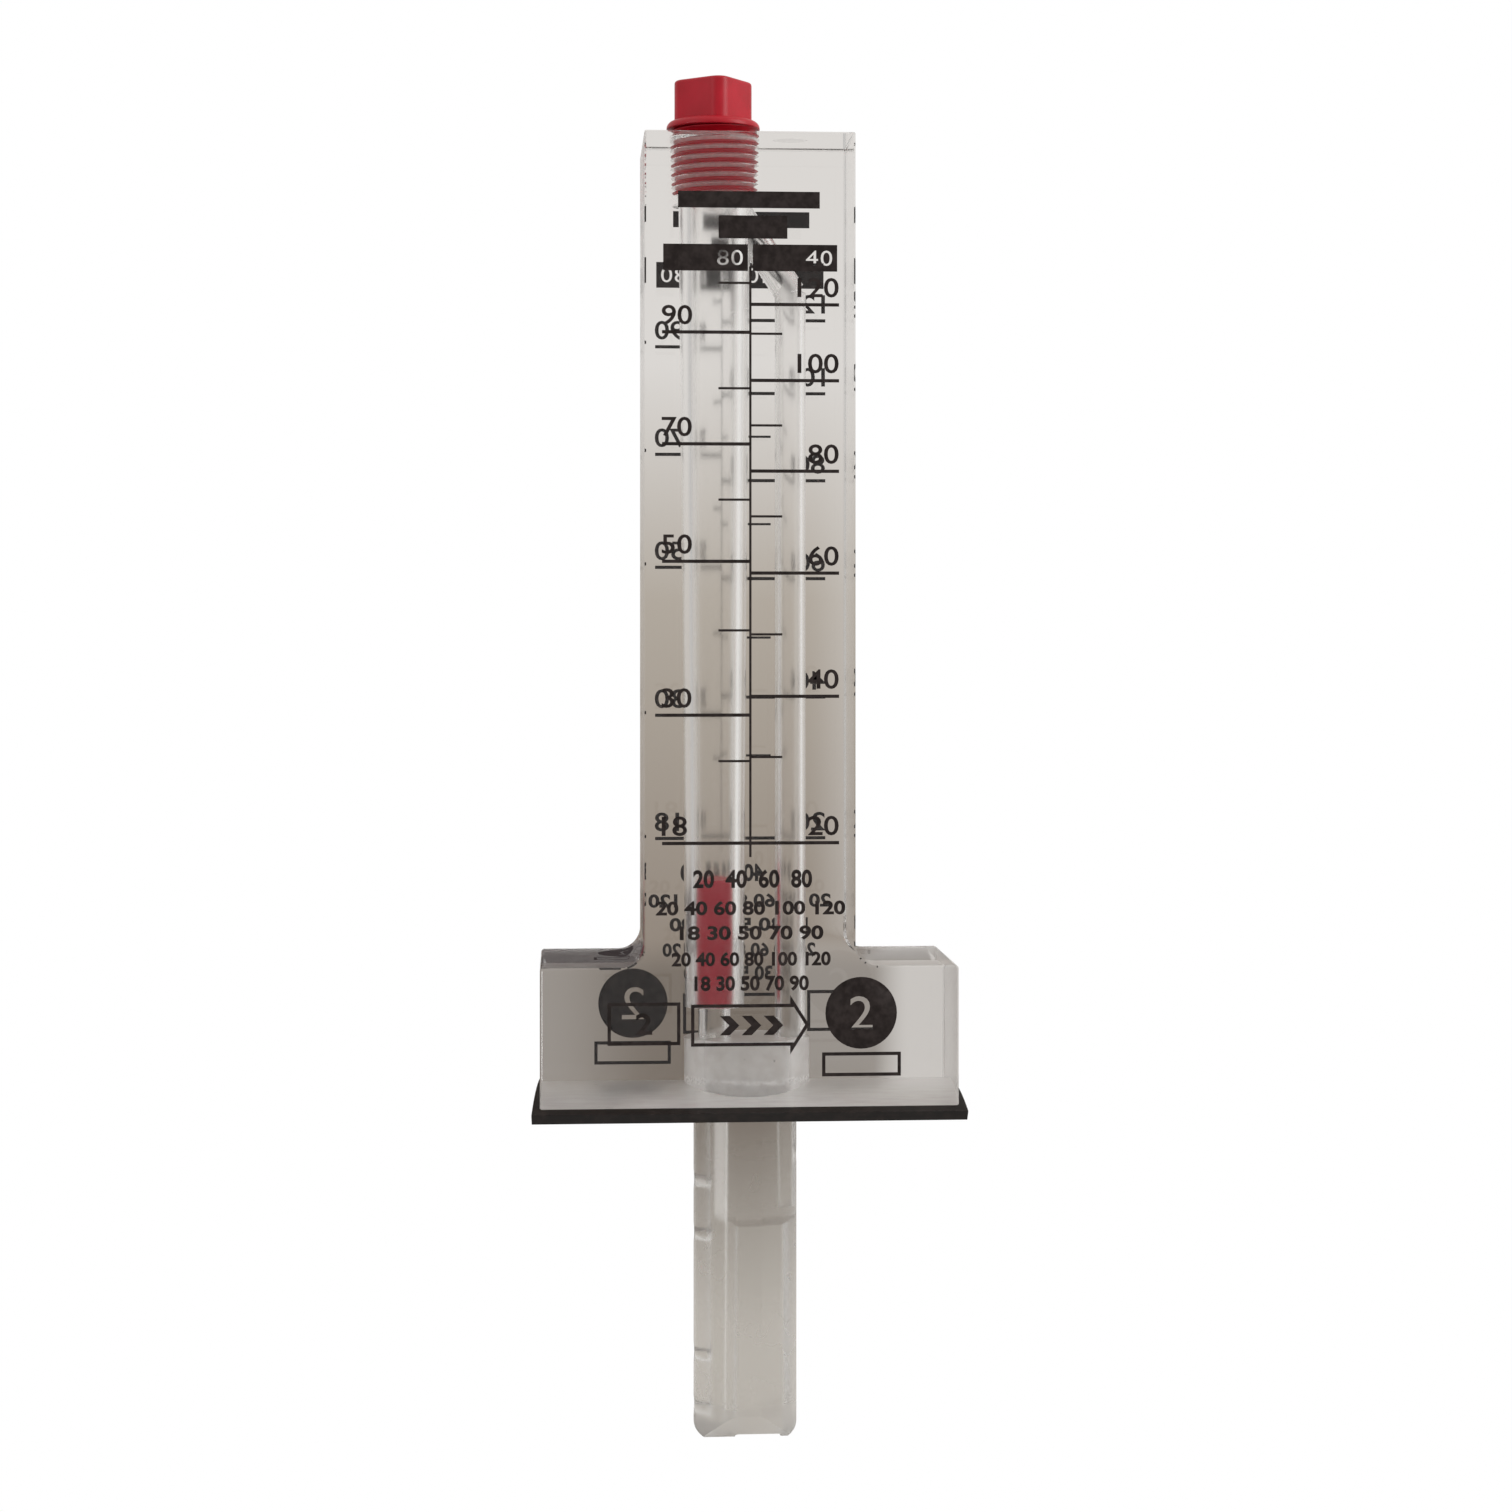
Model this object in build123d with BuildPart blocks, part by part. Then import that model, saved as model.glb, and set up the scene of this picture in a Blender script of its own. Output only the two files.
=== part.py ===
from build123d import *
import math
import os

# Insertion rotameter for a 2 inch pipe. A clear block sits on the pipe, its probe reaches into the flow,
# and a float rises in the tapered bore of the block.
# Frame: the origin is where the probe's axis meets the top of the pipe. +Z is up, +X is along the flow,
# and the front face looks along -Y. Heights written as "above the saddle" start at the saddle's crown.

# Pipe and gasket
pipe_radius = 30.15
gasket_thick = 1.6
gasket_length = 65.5  # along its front edge
gasket_back_length = 61.0
gasket_width = 28.3  # of the flat sheet
gasket_hole_dia = 17.7
lay_gap = 0.05  # between the gasket and the saddle it lies in

# Meter body
body_height = 146.5  # bottom corners of the saddle to the top
body_width = 31.75
body_thick = 25.4
base_width = 63.0
base_height = 21.05
neck_radius = 3.5
shoulder_radius = 0.5
edge_break = 0.25

# Passages in the body
float_bore_x = -4.93
return_bore_x = 6.67
socket_depth = 6.8
inlet_dia = 5.0
seat_height = 11.4  # ledge that the float rests on, above the saddle
seat_bore_dia = 9.1
seat_bore_length = 4.2  # straight drilled length above the ledge
float_bore_top_dia = 11.0
port_depth = 10.3
port_mouth_chamfer = 0.3
return_bore_dia = 4.76
return_bore_top = 120.5  # above the saddle
drill_point_angle = 118.0
crossover_angle = 33.7  # from the vertical

# Plug
plug_pitch_dia = 12.5  # of its tapered thread, level with the top of the body
pipe_taper = 1 / 16  # of the thread, on the diameter
thread_gap = 0.06  # between the plug's shank and the port, on the radius
plug_engagement = 8.35
plug_stand = 2.15  # underside of the plug's skirt, above the body
plug_tip_chamfer = 0.6
skirt_dia = 14.4
skirt_rim = 0.2
skirt_height = 1.25
head_across_flats = 9.7
head_corner_radius = 2.0
head_height = 6.25
head_edge_radius = 0.5
skirt_ledge = 0.15  # level ring of the skirt outside the head's corners
head_turn = -37.0

# Float
float_dia = 8.2
float_length = 19.4
float_chamfer = 0.4

# Probe
shank_dia = 15.875
collar_dia = 19.05
collar_gap = 0.05  # around the collar and over it
collar_inset = 0.5  # collar's underside, above the saddle
collar_chamfer = 0.3
probe_reach = 53.7  # below the top of the pipe
probe_tip_radius = 2.3
probe_ridge_radius = 8.5  # of the tip, from front to back
slot_corner_radius = 0.6
impact_slot_x = -3.4
impact_slot_width = 2.6
impact_slot_depth = 6.0
impact_slot_reach = 50.7
impact_slot_draft = 0.27
static_slot_x = 5.15
static_slot_width = 3.4
static_slot_depth = 5.5
static_slot_reach = 18.0
static_slot_draft = 0.9
pocket_x = 1.8
pocket_mouth_width = 7.1
pocket_depth = 9.0
pocket_top = 20.35  # below the top of the pipe
pocket_draft = 0.5
port_dia = 2.0
port_countersink = 0.6
impact_ports_centre = 31.7  # below the top of the pipe
impact_port_offsets = (-17.45, -9.25, 9.25, 17.45)
static_port_reach = 10.15

# Print, with heights above the saddle
ink_thick = 0.1
back_print_drop = 0.6
back_print_shift = 0.5  # upstream
title_bar = (-0.2, 133.5, 21.3, 2.5)  # place across, height of its centre, width, height
title_box = (0.4, 129.4, 10.35, 3.45)
centre_line_top = 123.5
centre_line_bottom = 34.9
fine_line = 0.35
tick_line = 0.5
sch40_tick = 13.36
sch80_tick = 13.25
minor_tick = 4.8
sch40_marks = {120: 117.8, 100: 106.4, 80: 92.8, 60: 77.5, 40: 59.0, 20: 37.0}
sch40_halves = (113.4, 99.65, 86.0, 68.3, 49.9)
sch80_marks = {90: 113.6, 70: 96.85, 50: 79.25, 30: 56.2, 18: 37.0}
sch80_halves = (121.0, 105.2, 88.5, 68.9, 49.3)
header_bottom = 122.8
header_height = 4.0
header_width = 12.7
header_gap = 0.75
arrow_body_length = 14.9
arrow_body_height = 6.3
arrow_tail = -8.9
arrow_head_length = 2.85
arrow_head_height = 8.9
arrow_height = 9.7
disc_x = 16.7
disc_height = 11.4
disc_radius = 5.4
plate_x = 16.75
plate_height = 3.7
plate_size = (11.9, 3.6)
box_x = -15.95
box_height = 10.0
box_size = (10.9, 6.4)

# Places worked out from the sizes above
pipe_axis_z = -pipe_radius
saddle_radius = pipe_radius + gasket_thick + lay_gap
saddle_z = pipe_axis_z + saddle_radius
corner_z = pipe_axis_z + math.sqrt(saddle_radius**2 - (body_thick / 2) ** 2)
shoulder_z = corner_z + base_height
body_top_z = corner_z + body_height
socket_top_z = saddle_z + socket_depth
seat_z = saddle_z + seat_height
taper_start_z = seat_z + seat_bore_length
port_floor_z = body_top_z - port_depth
return_top_z = saddle_z + return_bore_top
collar_top_z = socket_top_z - collar_gap
collar_bottom_z = saddle_z + collar_inset
plug_tip_z = body_top_z - plug_engagement
skirt_z = body_top_z + plug_stand
skirt_top_z = skirt_z + skirt_height
blank_z = corner_z - gasket_thick
past = 1.0  # how far a cutting tool runs past the face that it opens


def thread_radius(z):
    """Pitch radius of the pipe thread at a height."""
    return (plug_pitch_dia + (z - body_top_z) * pipe_taper) / 2


def finish(builder, label):
    """Name the piece and write it."""
    builder.part.label = label
    export_step(builder.part, f"parts/{label}.step")


def corners_at(sketch, height):
    """Corners of a front view at one height, from left to right."""
    return sketch.vertices().filter_by_position(Axis.Y, height - 0.01, height + 0.01).sort_by(Axis.X)


os.makedirs("parts", exist_ok=True)

# Meter body: the outline, the saddle, then the passages as drills and the tap would leave them
with BuildPart() as meter_body:
    with BuildSketch(Plane.XZ) as outline:
        with Locations((0, blank_z)):
            Rectangle(base_width, shoulder_z - blank_z, align=(Align.CENTER, Align.MIN))
            Rectangle(body_width, body_top_z - blank_z, align=(Align.CENTER, Align.MIN))
        fillet(corners_at(outline, shoulder_z)[1:3], neck_radius)
        fillet(corners_at(outline, shoulder_z)[0], shoulder_radius)
        fillet(corners_at(outline, shoulder_z)[-1], shoulder_radius)
        fillet(corners_at(outline, body_top_z), edge_break)
    extrude(amount=body_thick / 2, both=True)
    chamfer(meter_body.faces().filter_by(Axis.Y).edges(), edge_break)

    with BuildSketch(Plane.YZ):
        with Locations((0, pipe_axis_z)):
            Circle(saddle_radius)
    extrude(amount=base_width, both=True, mode=Mode.SUBTRACT)

    with BuildSketch(Plane.XY.offset(blank_z)):
        Circle(collar_dia / 2 + collar_gap)
    extrude(amount=socket_top_z - blank_z, mode=Mode.SUBTRACT)

    port_floor_radius = thread_radius(port_floor_z) + thread_gap
    port_mouth_radius = thread_radius(body_top_z) + thread_gap
    with BuildSketch(Plane.XZ.shift_origin((float_bore_x, 0, 0))):
        with BuildLine():
            Polyline(
                (0, socket_top_z - past),
                (inlet_dia / 2, socket_top_z - past),
                (inlet_dia / 2, seat_z),
                (seat_bore_dia / 2, seat_z),
                (seat_bore_dia / 2, taper_start_z),
                (float_bore_top_dia / 2, port_floor_z),
                (port_floor_radius, port_floor_z),
                (port_mouth_radius, body_top_z - port_mouth_chamfer),
                (port_mouth_radius + port_mouth_chamfer, body_top_z),
                (port_mouth_radius + port_mouth_chamfer, body_top_z + past),
                (0, body_top_z + past),
                close=True,
            )
        make_face()
    revolve(axis=Axis((float_bore_x, 0, 0), (0, 0, 1)), mode=Mode.SUBTRACT)

    return_radius = return_bore_dia / 2
    drill_point = return_radius / math.tan(math.radians(drill_point_angle / 2))
    with BuildSketch(Plane.XZ.shift_origin((return_bore_x, 0, 0))):
        with BuildLine():
            Polyline(
                (0, socket_top_z - past),
                (return_radius, socket_top_z - past),
                (return_radius, return_top_z),
                (0, return_top_z + drill_point),
                close=True,
            )
        make_face()
    revolve(axis=Axis((return_bore_x, 0, 0), (0, 0, 1)), mode=Mode.SUBTRACT)

    # The crossover starts on the axis of the return bore and breaks into the floor of the port
    slant = math.radians(crossover_angle)
    crossover_rise = (port_floor_z - return_top_z) / math.cos(slant) + return_radius
    crossover_plane = Plane(
        origin=(return_bore_x, 0, return_top_z),
        x_dir=(0, 1, 0),
        z_dir=(-math.sin(slant), 0, math.cos(slant)),
    )
    with BuildSketch(crossover_plane):
        Circle(return_radius)
    extrude(amount=crossover_rise, mode=Mode.SUBTRACT)
finish(meter_body, "meter_body")

# Pitot probe: a turned form with two drafted channels from the top and one pocket from the tip
with BuildPart() as pitot_probe:
    with BuildSketch(Plane.XZ) as probe_section:
        with BuildLine():
            Polyline(
                (0, -probe_reach),
                (shank_dia / 2, -probe_reach),
                (shank_dia / 2, collar_bottom_z),
                (collar_dia / 2, collar_bottom_z),
                (collar_dia / 2, collar_top_z),
                (0, collar_top_z),
                close=True,
            )
        make_face()
        fillet(corners_at(probe_section, -probe_reach)[-1], probe_tip_radius)
        chamfer(corners_at(probe_section, collar_top_z)[-1], collar_chamfer)
        chamfer(corners_at(probe_section, collar_bottom_z)[-1], collar_chamfer)
    revolve(axis=Axis.Z)
    with BuildSketch(Plane.YZ):
        with Locations((0, probe_ridge_radius - probe_reach)):
            Circle(probe_ridge_radius)
            Rectangle(collar_dia + 2 * past, collar_top_z + probe_reach, align=(Align.CENTER, Align.MIN))
    extrude(amount=collar_dia / 2 + past, both=True, mode=Mode.INTERSECT)

    for x, width, depth, reach, draft in (
        (impact_slot_x, impact_slot_width, impact_slot_depth, impact_slot_reach, impact_slot_draft),
        (static_slot_x, static_slot_width, static_slot_depth, static_slot_reach, static_slot_draft),
    ):
        with BuildSketch(Plane((x, 0, collar_top_z), x_dir=(1, 0, 0), z_dir=(0, 0, -1))):
            RectangleRounded(width, depth, slot_corner_radius)
        extrude(amount=collar_top_z + reach, taper=draft, mode=Mode.SUBTRACT)

    with BuildSketch(Plane.XY.offset(-probe_reach)):
        with Locations((pocket_x, 0)):
            RectangleRounded(pocket_mouth_width, pocket_depth, slot_corner_radius)
    extrude(amount=probe_reach - pocket_top, taper=pocket_draft, mode=Mode.SUBTRACT)

    upstream = Plane((-shank_dia / 2, 0, 0), x_dir=(0, 1, 0), z_dir=(-1, 0, 0))
    impact_port_heights = [up - impact_ports_centre for up in impact_port_offsets]
    with Locations(*[upstream.location * Location((0, height, 0)) for height in impact_port_heights]):
        CounterSinkHole(
            port_dia / 2,
            port_dia / 2 + port_countersink,
            depth=shank_dia / 2 + impact_slot_x,
            counter_sink_angle=90,
        )
    downstream = Plane((shank_dia / 2, 0, 0), x_dir=(0, 1, 0), z_dir=(1, 0, 0))
    with Locations(downstream.location * Location((0, -static_port_reach, 0))):
        CounterSinkHole(
            port_dia / 2,
            port_dia / 2 + port_countersink,
            depth=shank_dia / 2 - static_slot_x,
            counter_sink_angle=90,
        )
finish(pitot_probe, "pitot_probe")

# Saddle gasket: a flat sheet, cut a little shorter at the back and taken up by the round of the pipe
with BuildPart() as saddle_gasket:
    sheet_middle_radius = pipe_radius + gasket_thick / 2
    wrap = gasket_width / 2 / sheet_middle_radius
    wedge_reach = pipe_radius * 2
    with BuildSketch(Plane.YZ):
        with Locations((0, pipe_axis_z)):
            Circle(pipe_radius + gasket_thick)
            Circle(pipe_radius, mode=Mode.SUBTRACT)
        with BuildLine():
            Polyline(
                (0, pipe_axis_z),
                (wedge_reach * math.sin(wrap), pipe_axis_z + wedge_reach * math.cos(wrap)),
                (-wedge_reach * math.sin(wrap), pipe_axis_z + wedge_reach * math.cos(wrap)),
                close=True,
            )
        make_face(mode=Mode.INTERSECT)
    extrude(amount=gasket_length, both=True)
    half_chord = (pipe_radius + gasket_thick) * math.sin(wrap)
    end_lean = (gasket_length - gasket_back_length) / (4 * half_chord)
    front_reach = gasket_length / 2 + past * end_lean
    back_reach = gasket_back_length / 2 - past * end_lean
    with BuildSketch(Plane.XY.offset(pipe_axis_z)):
        with BuildLine():
            Polyline(
                (-front_reach, -half_chord - past),
                (front_reach, -half_chord - past),
                (back_reach, half_chord + past),
                (-back_reach, half_chord + past),
                close=True,
            )
        make_face()
    extrude(amount=sheet_middle_radius + gasket_thick, mode=Mode.INTERSECT)
    Hole(gasket_hole_dia / 2)
finish(saddle_gasket, "saddle_gasket")

# Float: a plain turned cylinder, standing on the ledge
with BuildPart() as float_piece:
    with BuildSketch(Plane.XY.offset(seat_z)):
        with Locations((float_bore_x, 0)):
            Circle(float_dia / 2)
    extrude(amount=float_length)
    chamfer(float_piece.edges().filter_by(GeomType.CIRCLE), float_chamfer)
finish(float_piece, "float")

# Top plug: a tapered shank, a flared skirt and a square head
with BuildPart() as top_plug:
    head_corner_reach = head_across_flats / 2 * math.sqrt(2) - head_corner_radius * (math.sqrt(2) - 1)
    skirt_top_radius = head_corner_reach + skirt_ledge
    with BuildSketch(Plane.XZ.shift_origin((float_bore_x, 0, 0))):
        with BuildLine():
            Polyline(
                (0, skirt_top_z),
                (0, plug_tip_z),
                (thread_radius(plug_tip_z) - plug_tip_chamfer, plug_tip_z),
                (thread_radius(plug_tip_z), plug_tip_z + plug_tip_chamfer),
                (thread_radius(skirt_z), skirt_z),
                (skirt_dia / 2, skirt_z),
                (skirt_dia / 2, skirt_z + skirt_rim),
            )
            TangentArc(
                (skirt_dia / 2, skirt_z + skirt_rim),
                (skirt_top_radius, skirt_top_z),
                tangent=(-0.3, 1),
            )
            Line((skirt_top_radius, skirt_top_z), (0, skirt_top_z))
        make_face()
    revolve(axis=Axis((float_bore_x, 0, 0), (0, 0, 1)))
    with BuildSketch(Plane.XY.offset(skirt_top_z)):
        with Locations(Location((float_bore_x, 0, 0), (0, 0, head_turn))):
            RectangleRounded(head_across_flats, head_across_flats, head_corner_radius)
    extrude(amount=head_height)
    fillet(top_plug.faces().sort_by(Axis.Z)[-1].edges(), head_edge_radius)
finish(top_plug, "top_plug")


def print_layer(face_plane, flow_side):
    """Ink of one face. Its plane starts level with the saddle, local X runs to the right of someone who reads
    it, and flow_side is 1 where that is downstream."""
    with BuildPart() as ink:
        with BuildSketch(face_plane):
            with Locations((0, (centre_line_top + centre_line_bottom) / 2)):
                Rectangle(fine_line, centre_line_top - centre_line_bottom)
            for heights, length, thick, way in (
                (sch40_marks.values(), sch40_tick, tick_line, flow_side),
                (sch40_halves, minor_tick, fine_line, flow_side),
                (sch80_marks.values(), sch80_tick, tick_line, -flow_side),
                (sch80_halves, minor_tick, fine_line, -flow_side),
            ):
                with Locations(*[(way * length / 2, height) for height in heights]):
                    Rectangle(length, thick)
            header_x = (header_width + header_gap) / 2
            with Locations(*[(x, header_bottom + header_height / 2) for x in (-header_x, header_x)]):
                Rectangle(header_width, header_height)
            for x, height, width, thick in (title_bar, title_box):
                with Locations((x, height)):
                    Rectangle(width, thick)
        extrude(amount=ink_thick)
        with BuildSketch(Plane(face_plane.location * Location((0, arrow_height, 0)))):
            with BuildLine():
                tail = flow_side * arrow_tail
                root = tail + flow_side * arrow_body_length
                Polyline(
                    (tail, -arrow_body_height / 2),
                    (root, -arrow_body_height / 2),
                    (root, -arrow_head_height / 2),
                    (root + flow_side * arrow_head_length, 0),
                    (root, arrow_head_height / 2),
                    (root, arrow_body_height / 2),
                    (tail, arrow_body_height / 2),
                    close=True,
                )
            make_face()
            offset(amount=-tick_line, kind=Kind.INTERSECTION, mode=Mode.SUBTRACT)
        extrude(amount=ink_thick)
        with BuildSketch(face_plane):
            with Locations((disc_x, disc_height)):
                Circle(disc_radius)
            for x, height, size in ((plate_x, plate_height, plate_size), (box_x, box_height, box_size)):
                with Locations((x, height)):
                    Rectangle(*size)
                    Rectangle(size[0] - 2 * tick_line, size[1] - 2 * tick_line, mode=Mode.SUBTRACT)
        extrude(amount=ink_thick)
    return ink


front_face = Plane((0, -body_thick / 2, saddle_z), x_dir=(1, 0, 0), z_dir=(0, -1, 0))
back_face = Plane(
    (-back_print_shift, body_thick / 2, saddle_z - back_print_drop), x_dir=(-1, 0, 0), z_dir=(0, 1, 0)
)
finish(print_layer(front_face, 1), "front_scale_print")
finish(print_layer(back_face, -1), "back_scale_print")
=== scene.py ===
from math import ceil, cos, pi, radians, sin, sqrt, tan

import bmesh
import bpy
from mathutils import Matrix, Vector


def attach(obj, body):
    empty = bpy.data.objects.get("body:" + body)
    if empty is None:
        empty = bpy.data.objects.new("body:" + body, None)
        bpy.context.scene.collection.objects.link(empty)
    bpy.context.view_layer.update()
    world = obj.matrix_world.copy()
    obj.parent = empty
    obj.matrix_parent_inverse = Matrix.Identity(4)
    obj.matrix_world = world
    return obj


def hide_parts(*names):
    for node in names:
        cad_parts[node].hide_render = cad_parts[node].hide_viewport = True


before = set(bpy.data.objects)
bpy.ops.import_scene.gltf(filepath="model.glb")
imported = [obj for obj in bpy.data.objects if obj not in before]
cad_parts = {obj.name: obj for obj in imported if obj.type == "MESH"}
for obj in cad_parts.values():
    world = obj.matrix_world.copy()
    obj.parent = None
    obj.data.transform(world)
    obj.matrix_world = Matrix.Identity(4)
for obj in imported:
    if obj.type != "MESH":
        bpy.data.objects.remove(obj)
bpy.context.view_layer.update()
print("frame loaded")

# shapes are worked in millimetres, in the frame of the part, and scaled when a piece is finished
toMetres = Matrix.Scale(0.001, 4)
overcut = 1.0  # how far a cutting tool reaches past what it opens
skin = 0.001  # just past a face that two shapes would share


def turned(profile, steps, axisX=0.0):
    # profile holds (radius, height) pairs, from one end of the axis to the other
    bm = bmesh.new()
    verts = [bm.verts.new((axisX + radius, 0, height)) for radius, height in profile]
    edges = [bm.edges.new(pair) for pair in zip(verts, verts[1:])]
    bmesh.ops.spin(bm, geom=verts + edges, cent=(axisX, 0, 0), axis=(0, 0, 1), angle=2 * pi, steps=steps,
                   use_merge=True)
    bmesh.ops.remove_doubles(bm, verts=bm.verts, dist=1e-4)
    bmesh.ops.recalc_face_normals(bm, faces=bm.faces)
    return bm


def drilled(start, end, radius, steps):
    # a plain round bar between two points
    bm = bmesh.new()
    start, end = Vector(start), Vector(end)
    turn = (end - start).to_track_quat("Z", "Y").to_matrix().to_4x4()
    place = Matrix.Translation((start + end) / 2) @ turn
    bmesh.ops.create_cone(bm, cap_ends=True, segments=steps, radius1=radius, radius2=radius,
                          depth=(end - start).length, matrix=place)
    return bm


def screwed(pitchRadius, levelZ, low, high, axisX, steps, thread):
    # one pitch of the thread form, spun up as a screw, welded turn to turn and cut level at both ends
    bm = bmesh.new()
    half, flat, pitch = thread["height"] / 2, thread["flat"], thread["pitch"]
    flank = (pitch - 2 * flat) / 2
    form = ((-half, 0), (-half, flat), (half, flat + flank), (half, flat + flank + flat), (-half, pitch))
    turns = ceil((high - low) / pitch) + 2
    verts = [bm.verts.new((axisX + pitchRadius + out, 0, low - pitch + up)) for out, up in form]
    edges = [bm.edges.new(pair) for pair in zip(verts, verts[1:])]
    bmesh.ops.spin(bm, geom=verts + edges, cent=(axisX, 0, 0), axis=(0, 0, 1), angle=2 * pi * turns,
                   steps=steps * turns, dvec=(0, 0, pitch / steps), use_merge=False)
    bmesh.ops.remove_doubles(bm, verts=bm.verts, dist=1e-3)
    for v in bm.verts:  # the taper
        radius = Vector((v.co.x - axisX, v.co.y))
        radius *= 1 + (v.co.z - levelZ) * thread["taper"] / 2 / radius.length
        v.co.x, v.co.y = axisX + radius.x, radius.y
    for height, outward in ((low, -1), (high, 1)):
        bmesh.ops.bisect_plane(bm, geom=bm.verts[:] + bm.edges[:] + bm.faces[:], dist=1e-6,
                               plane_co=(0, 0, height), plane_no=(0, 0, outward), clear_outer=True)
        rim = [e for e in bm.edges
               if e.is_boundary and all(abs(v.co.z - height) < 1e-4 for v in e.verts)]
        bmesh.ops.edgeloop_fill(bm, edges=rim)
    bmesh.ops.recalc_face_normals(bm, faces=bm.faces)
    return bm


def roundedBar(centreX, width, depth, cornerRadius, start, end, draft, segments=5):
    # an upright bar with rounded corners that narrows from its start height to its end height
    bm = bmesh.new()
    corners = ((-1, -1), (1, -1), (1, 1), (-1, 1))
    face = bm.faces.new([bm.verts.new((sx * width / 2, sy * depth / 2, 0)) for sx, sy in corners])
    bmesh.ops.bevel(bm, geom=face.verts[:], offset=cornerRadius, offset_type="OFFSET", segments=segments,
                    profile=0.5, affect="VERTICES", material=-1)
    made = bmesh.ops.extrude_face_region(bm, geom=bm.faces[:])["geom"]
    far = [g for g in made if isinstance(g, bmesh.types.BMVert)]
    shrink = abs(start - end) * tan(radians(draft))
    bmesh.ops.scale(bm, vec=(1 - 2 * shrink / width, 1 - 2 * shrink / depth, 1), verts=far)
    bmesh.ops.translate(bm, vec=(0, 0, end - start), verts=far)
    bmesh.ops.translate(bm, vec=(centreX, 0, start), verts=bm.verts)
    bmesh.ops.recalc_face_normals(bm, faces=bm.faces)
    return bm


def quarterTurn(steps):
    return [radians(90 * i / steps) for i in range(steps + 1)]


def asObject(name, bm):
    mesh = bpy.data.meshes.new(name)
    bm.to_mesh(mesh)
    bm.free()
    made = bpy.data.objects.new(name, mesh)
    bpy.context.scene.collection.objects.link(made)
    return made


def evaluatedMesh(obj):
    bpy.context.view_layer.update()
    return bpy.data.meshes.new_from_object(obj.evaluated_get(bpy.context.evaluated_depsgraph_get()))


def combined(bm, operation, *tools):
    # exact booleans, one tool after another
    body = asObject("work", bm)
    for i, tool in enumerate(tools):
        cutter = asObject(f"tool{i}", tool)
        step = body.modifiers.new(f"step{i}", "BOOLEAN")
        step.operation, step.solver, step.object = operation, "EXACT", cutter
        mesh = evaluatedMesh(body)
        body.modifiers.clear()
        body.data = mesh
        bpy.data.objects.remove(cutter)
    result = bmesh.new()
    result.from_mesh(body.data)
    bpy.data.objects.remove(body)
    bmesh.ops.remove_doubles(result, verts=result.verts, dist=2e-4)
    bmesh.ops.dissolve_degenerate(result, edges=result.edges, dist=1e-4)
    return result


def finished(name, bm, material, body, replaced, sharpAngle=28, flatArea=100):
    # a piece in metres, smooth but for its edges and its large flat faces
    for f in bm.faces:
        f.smooth = True
    piece = asObject(name, bm)
    mesh = piece.data
    mesh.set_sharp_from_angle(angle=radians(sharpAngle))
    sharp = mesh.attributes.get("sharp_edge") or mesh.attributes.new("sharp_edge", "BOOLEAN", "EDGE")
    flatEdges = {key for polygon in mesh.polygons if polygon.area > flatArea
                 for key in polygon.edge_keys}
    for edge in mesh.edges:
        if edge.key in flatEdges:
            sharp.data[edge.index].value = True
    mesh.transform(toMetres)
    mesh.materials.append(material)
    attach(piece, body)
    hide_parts(*replaced)
    return piece


class Wire:
    # a shader socket that takes part in plain arithmetic
    def __init__(self, tree, socket=None):
        self.tree, self.socket = tree, socket

    def node(self, kind, settings=None, sockets=None, output=0):
        made = self.tree.nodes.new(kind)
        for name, value in (settings or {}).items():
            if name == "stops":
                ramp = made.color_ramp.elements
                while len(ramp) < len(value):
                    ramp.new(0.5)
                for element, (position, colour) in zip(ramp, value):
                    element.position = position
                    element.color = (*colour, 1) if hasattr(colour, "__len__") else (colour,) * 3 + (1,)
            else:
                setattr(made, name, value)
        for name, value in (sockets or {}).items():
            if isinstance(value, Wire):
                self.tree.links.new(value.socket, made.inputs[name])
            else:
                made.inputs[name].default_value = value
        return Wire(self.tree, made.outputs[output])

    def math(self, operation, *values):
        return self.node("ShaderNodeMath", {"operation": operation}, dict(enumerate(values)))

    def __add__(self, other): return self.math("ADD", self, other)
    def __radd__(self, other): return self.math("ADD", other, self)
    def __sub__(self, other): return self.math("SUBTRACT", self, other)
    def __rsub__(self, other): return self.math("SUBTRACT", other, self)
    def __mul__(self, other): return self.math("MULTIPLY", self, other)
    def __rmul__(self, other): return self.math("MULTIPLY", other, self)
    def __truediv__(self, other): return self.math("DIVIDE", self, other)
    def __pow__(self, other): return self.math("POWER", self, other)
    def __abs__(self): return self.math("ABSOLUTE", self)

    def between(self, low, high):
        # 0 below low, 1 above high, smooth in between
        return self.node("ShaderNodeMapRange", {"interpolation_type": "SMOOTHSTEP"},
                         {"Value": self, "From Min": low, "From Max": high})

    def inside(self, low, high):
        # 1 between the two limits, 0 outside
        return self.math("GREATER_THAN", self, low) * self.math("LESS_THAN", self, high)

    def blend(self, first, second, way="MIX"):
        # a colour between two, by this factor
        return self.node("ShaderNodeMix", {"data_type": "RGBA", "blend_type": way},
                         {0: self, 6: first, 7: second}, output=2)

    def parts(self):
        split = self.node("ShaderNodeSeparateXYZ", None, {0: self}).socket.node
        return [Wire(self.tree, socket) for socket in split.outputs]


def linear(red, green, blue):
    # a colour picked on the screen, as the shaders want it
    return tuple(c / 255 / 12.92 if c <= 10 else ((c / 255 + 0.055) / 1.055) ** 2.4
                 for c in (red, green, blue))


def newMaterial(name):
    material = bpy.data.materials.new(name)
    material.use_nodes = True
    tree = material.node_tree
    shader = tree.nodes["Principled BSDF"]
    place = Wire(tree).node("ShaderNodeTexCoord", output=3)
    return material, shader, place


def connect(wire, socket):
    wire.tree.links.new(wire.socket, socket)


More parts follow.
